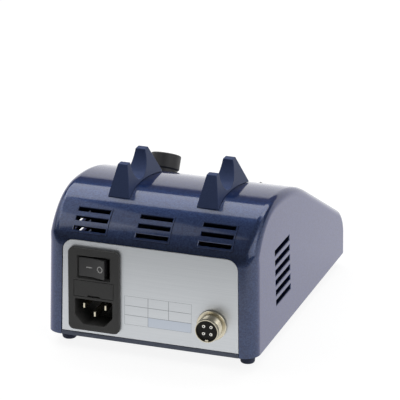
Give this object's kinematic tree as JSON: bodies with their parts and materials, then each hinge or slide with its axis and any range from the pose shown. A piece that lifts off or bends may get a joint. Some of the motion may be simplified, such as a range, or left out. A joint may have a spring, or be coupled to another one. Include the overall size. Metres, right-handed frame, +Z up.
{
  "type": "dental lab micromotor control box",
  "caption": "Vented desktop control box with sloping control face, two handpiece rests on top, and a rear plate with mains inlet, power switch, fuse drawer and round output socket.",
  "frame": {"origin": "middle of the whole box's footprint, at the level of the feet", "axes": "+Z up, +Y towards the rear plate with the mains inlet, -Y towards the control face, +X to the left of someone who looks at the rear plate"},
  "size_m": [0.137, 0.2092, 0.1129],
  "materials": {
    "navy_plastic": "moulded, deep navy with a fine metallic flake, glossy",
    "plate_aluminium": "satin, brushed sideways",
    "black_plastic": "fine mould texture, charcoal",
    "black_gloss": "smooth, black",
    "nickel": "nickel plate over brass, turned",
    "brass": "turned, bright",
    "steel": "zinc plated",
    "laminations": "stacked sheet, varnished",
    "winding": "enamelled copper wire under tape",
    "board": "glass-fibre laminate under green lacquer",
    "heat_sink": "extruded, bare",
    "capacitor_sleeve": "shrunk sleeve",
    "fuse_glass": "clear tube with plated caps",
    "lamp_red": "tinted, clear"
  },
  "bodies": {
    "case": {"housing_shell": "navy_plastic", "base_plate": "navy_plastic", "foot_rear_left": "navy_plastic", "foot_rear_right": "navy_plastic", "foot_middle_left": "navy_plastic", "foot_middle_right": "navy_plastic", "foot_front_left": "navy_plastic", "foot_front_right": "navy_plastic", "base_screw_rear_left": "steel", "base_screw_rear_right": "steel", "base_screw_front_left": "steel", "base_screw_front_right": "steel", "rest_left": "navy_plastic", "rest_right": "navy_plastic", "rear_plate": "plate_aluminium", "inlet_body": "black_plastic", "line_pin": "nickel", "neutral_pin": "nickel", "earth_pin": "nickel", "socket_shell": "nickel", "socket_insert": "black_plastic", "socket_contact_1": "brass", "socket_contact_2": "brass", "socket_contact_3": "brass", "socket_contact_4": "brass", "socket_nut": "nickel", "potentiometer": "heat_sink", "potentiometer_nut": "nickel", "direction_switch": "black_plastic", "selector_switch": "black_plastic", "lamp_holder": "nickel", "lamp_lens": "lamp_red", "motor_socket_shell": "nickel", "motor_socket_insert": "black_plastic", "motor_socket_nut": "nickel", "transformer_core": "laminations", "transformer_coil": "winding", "transformer_strap": "steel", "strap_screw_left": "steel", "strap_screw_right": "steel", "circuit_board": "board", "standoff_rear_left": "nickel", "standoff_rear_right": "nickel", "standoff_front_left": "nickel", "standoff_front_right": "nickel", "heat_sink": "heat_sink", "capacitor_left": "capacitor_sleeve", "capacitor_right": "capacitor_sleeve"},
    "power_rocker": {"power_rocker": "black_gloss"},
    "fuse_drawer": {"fuse_drawer": "black_plastic", "fuse": "fuse_glass"},
    "speed_knob": {"speed_knob": "black_gloss", "speed_shaft": "steel"},
    "direction_rocker": {"direction_rocker": "black_gloss"},
    "selector_rocker": {"selector_rocker": "black_gloss"}
  },
  "joints": [
    {"name": "power_rocker_tilt", "type": "hinge", "parent": "case", "child": "power_rocker", "pos_m": [0.0356, 0.08966, 0.0556], "axis": [0, 0, 1], "range_deg": [0, 16]},
    {"name": "fuse_drawer_slide", "type": "slide", "parent": "case", "child": "fuse_drawer", "axis": [0, 1, 0], "range_m": [0, 0.01]},
    {"name": "speed_knob_turn", "type": "hinge", "parent": "case", "child": "speed_knob", "pos_m": [0.0375, -0.03653, 0.07107], "axis": [0, 0.4633, -0.8862], "range_deg": [0, 300]},
    {"name": "direction_rocker_tilt", "type": "hinge", "parent": "case", "child": "direction_rocker", "pos_m": [-0.002, -0.03624, 0.0675], "axis": [0, 0.8862, 0.4633], "range_deg": [0, 16]},
    {"name": "selector_rocker_tilt", "type": "hinge", "parent": "case", "child": "selector_rocker", "pos_m": [-0.036, -0.03624, 0.0675], "axis": [0, 0.8862, 0.4633], "range_deg": [0, 16]}
  ]
}
